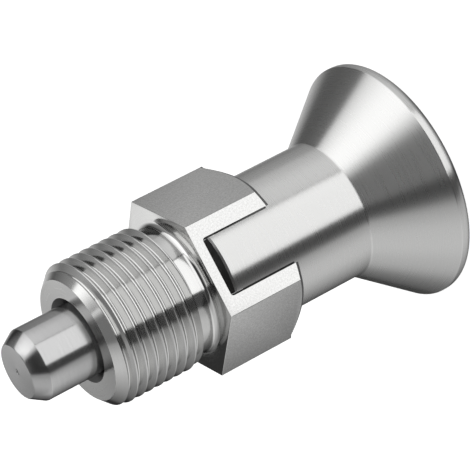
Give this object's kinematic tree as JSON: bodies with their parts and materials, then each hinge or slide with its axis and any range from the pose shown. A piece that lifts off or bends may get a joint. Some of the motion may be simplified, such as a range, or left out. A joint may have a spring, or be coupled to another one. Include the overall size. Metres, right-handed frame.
{
  "type": "indexing plunger",
  "caption": "Spring-loaded indexing plunger with a threaded body, a slotted hexagon, a conical pull knob and a slot lock.",
  "frame": {"origin": "centre of the knob's flat end face, which the plunger stands on", "axes": "+Z along the axis from the knob to the pin's nose; the slotted flats of the hexagon face -Y and +Y"},
  "size_m": [0.0336, 0.0336, 0.0606],
  "materials": {
    "body_steel": "turned and milled",
    "knob_steel": "fine turned",
    "pin_steel": "ground",
    "rod_steel": "drawn",
    "spring_steel": "drawn wire"
  },
  "bodies": {
    "guide": {"guide_body": "body_steel", "return_spring": "spring_steel"},
    "plunger": {"indexing_pin": "pin_steel", "pull_rod": "rod_steel", "pull_knob": "knob_steel"}
  },
  "joints": [
    {"name": "pull", "type": "slide", "parent": "guide", "child": "plunger", "axis": [0, 0, -1], "range_m": [0, 0.0098], "stiffness_N_per_m": 2400, "springref_m": -0.0069, "deforming": ["return_spring"]}
  ]
}
